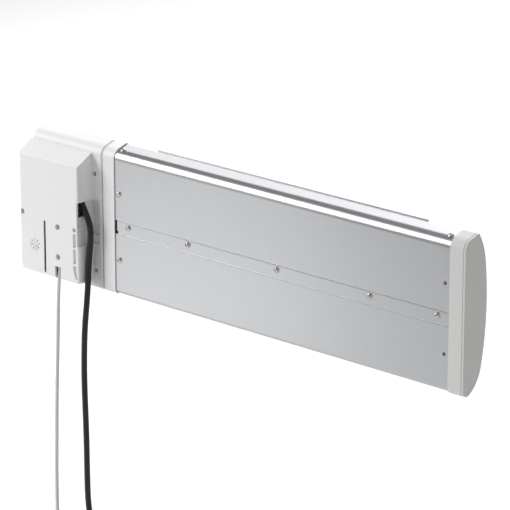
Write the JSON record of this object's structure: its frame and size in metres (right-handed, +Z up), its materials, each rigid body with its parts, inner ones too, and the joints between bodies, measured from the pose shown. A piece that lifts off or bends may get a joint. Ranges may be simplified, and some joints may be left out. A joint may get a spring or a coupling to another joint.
{
  "type": "wall-mounted infrared heat lamp warmer",
  "caption": "Wall-mounted infrared heat lamp warmer: long aluminium lamp housing, plastic end frames, control box with a pull-cord switch, and a mains lead put away as a coil.",
  "frame": {"origin": "middle of the control box's wall face, on the wall plane", "axes": "+X along the housing towards its right-hand end, +Y out of the wall into the room, +Z up"},
  "size_m": [0.6239, 0.0576, 0.5907],
  "materials": {
    "white_plastic": "satin",
    "cap_plastic": "satin",
    "dark_plastic": "matte",
    "natural_plastic": "matte",
    "sheet_aluminium": "satin",
    "reflector_aluminium": "polished",
    "steel": "satin",
    "spring_steel": "satin",
    "brass": "satin",
    "nickel": "polished",
    "black_flex": "satin",
    "white_cord": "braided",
    "wire_insulation": "matte",
    "quartz": "clear",
    "ceramic": "matte",
    "resistance_wire": "oxidised"
  },
  "bodies": {
    "housing": {"box_rear_cover": "white_plastic", "box_front_shell": "white_plastic", "date_dial": "white_plastic", "box_case_screw": "steel", "switch_screws": "steel", "box_frame_screws": "steel", "pull_switch_body": "white_plastic", "pull_switch_cover": "natural_plastic", "switch_spring": "spring_steel", "switch_contacts": "brass", "cable_boot": "dark_plastic", "cable_clamp": "natural_plastic", "clamp_screws": "steel", "terminal_block": "ceramic", "terminal_screws": "brass", "box_wiring": "wire_insulation", "end_frame_left": "white_plastic", "end_frame_right": "cap_plastic", "end_cover_right": "cap_plastic", "rear_upper_panel": "sheet_aluminium", "rear_lower_panel": "sheet_aluminium", "front_bezel": "sheet_aluminium", "rail_screws": "steel", "end_screws": "steel", "top_screws": "steel", "reflector": "reflector_aluminium", "lamp_brackets": "steel", "lamp_bracket_screws": "steel", "ceramic_holders": "ceramic", "quartz_tubes": "quartz", "heating_elements": "resistance_wire", "front_guard": "nickel", "thermal_cutout": "dark_plastic", "lamp_wiring": "wire_insulation", "mains_cable": "black_flex", "cable_coil": "black_flex", "plug_lead": "black_flex", "cable_tie": "dark_plastic", "plug_body": "dark_plastic", "plug_pins": "nickel"},
    "pull": {"switch_plunger": "natural_plastic", "pull_cord": "white_cord", "pull_knob": "white_plastic"},
    "rocker": {"switch_rocker": "natural_plastic"}
  },
  "joints": [
    {"name": "pull_slide", "type": "slide", "parent": "housing", "child": "pull", "axis": [0, 0, -1], "range_m": [0, 0.008], "stiffness_N_per_m": 200, "springref_m": -0.008, "deforming": ["switch_spring"]},
    {"name": "rocker_hinge", "type": "hinge", "parent": "housing", "child": "rocker", "pos_m": [0.0199, 0.02, -0.016], "axis": [0, -1, 0], "range_deg": [0, 48]}
  ],
  "couplings": [
    {"joint": "rocker_hinge", "follows": "pull_slide", "rad_per_m": 104.6}
  ]
}
